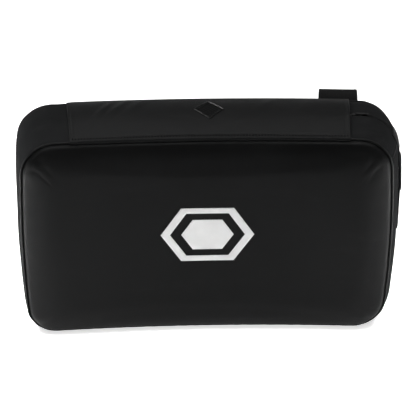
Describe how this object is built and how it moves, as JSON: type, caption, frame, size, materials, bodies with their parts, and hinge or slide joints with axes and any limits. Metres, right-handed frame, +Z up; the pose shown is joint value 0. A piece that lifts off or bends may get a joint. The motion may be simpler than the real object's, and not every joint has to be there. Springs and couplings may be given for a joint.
{
  "type": "kick shield",
  "caption": "Curved padded striking shield with a zipped cover under a flap, foam inside, a forearm strap and grip behind and a carry handle on one end.",
  "frame": {"origin": "middle of the flat underside that the shield stands on", "axes": "+X along the shield towards its carry handle, -Y towards the striker, +Z up"},
  "size_m": [0.6527, 0.2486, 0.3755],
  "materials": {
    "cover_leather": "soft matte artificial leather with a fine grain",
    "flap_leather": "artificial leather over a thin backing, slightly lighter than the cover",
    "foam": "closed-cell foam sheet",
    "webbing": "woven polyester webbing",
    "hook_and_loop": "hook-and-loop tape",
    "mark_white": "matt white screen print",
    "zip_plastic": "moulded nylon coil",
    "zip_metal": "black lacquered zinc"
  },
  "bodies": {
    "shield": {"strike_panel": "cover_leather", "back_panel": "cover_leather", "gusset_main": "cover_leather", "zip_gusset_front": "cover_leather", "zip_gusset_back": "cover_leather", "front_piping": "cover_leather", "back_piping": "cover_leather", "foam_strike_layer": "foam", "foam_core_block": "foam", "foam_back_board": "foam", "strike_mark_ring": "mark_white", "strike_mark_core": "mark_white", "zip_tape_front": "webbing", "zip_tape_back": "webbing", "zip_coil_front": "zip_plastic", "zip_coil_back": "zip_plastic", "zip_stop_open": "zip_metal", "zip_stop_closed": "zip_metal", "flap_base": "flap_leather", "flap_loop_strip": "hook_and_loop", "strap_anchor_top": "webbing", "strap_anchor_bottom": "webbing", "grip_anchor_top": "webbing", "grip_anchor_bottom": "webbing", "end_handle_tab_top": "webbing", "end_handle_tab_bottom": "webbing"},
    "slider": {"zip_slider": "zip_metal"},
    "pull": {"zip_pull": "zip_metal"},
    "flap": {"cover_flap": "flap_leather", "flap_hook_strip": "hook_and_loop", "lozenge_patch": "flap_leather"},
    "strap_upper": {"strap_upper_band": "webbing", "strap_hook_patch": "hook_and_loop"},
    "strap_lower": {"strap_lower_band": "webbing", "strap_loop_patch": "hook_and_loop", "forearm_pad": "cover_leather"},
    "grip": {"grip_webbing": "webbing", "grip_sleeve": "cover_leather"},
    "end_handle": {"end_handle_webbing": "webbing", "end_handle_wrap": "webbing"}
  },
  "joints": [
    {"name": "zip_slider_travel", "type": "hinge", "parent": "shield", "child": "slider", "pos_m": [0, -3.371, 0.369], "axis": [0, 0, 1], "range_deg": [0, 7.6]},
    {"name": "zip_pull_swing", "type": "hinge", "parent": "slider", "child": "pull", "pos_m": [0.24898, -0.00921, 0.3706], "axis": [-0.0733, -0.9973, 0], "range_deg": [0, 110]},
    {"name": "cover_flap_lift", "type": "hinge", "parent": "shield", "child": "flap", "pos_m": [0, -0.063, 0.3656], "axis": [1, 0, 0], "range_deg": [0, 150]},
    {"name": "strap_upper_open", "type": "hinge", "parent": "shield", "child": "strap_upper", "pos_m": [0.22996, 0.105, 0.357], "axis": [0.9978, -0.066, 0], "range_deg": [0, 120]},
    {"name": "strap_lower_press", "type": "hinge", "parent": "shield", "child": "strap_lower", "pos_m": [0.2293, 0.09502, 0.015], "axis": [0.9978, -0.066, 0], "range_deg": [0, 15]},
    {"name": "grip_swing", "type": "hinge", "parent": "shield", "child": "grip", "pos_m": [-0.1153, 0.08668, 0.19], "axis": [0, 0, 1], "range_deg": [-45, 45]},
    {"name": "end_handle_pull", "type": "slide", "parent": "shield", "child": "end_handle", "axis": [0.9956, -0.0935, 0], "range_m": [0, 0.016]}
  ]
}
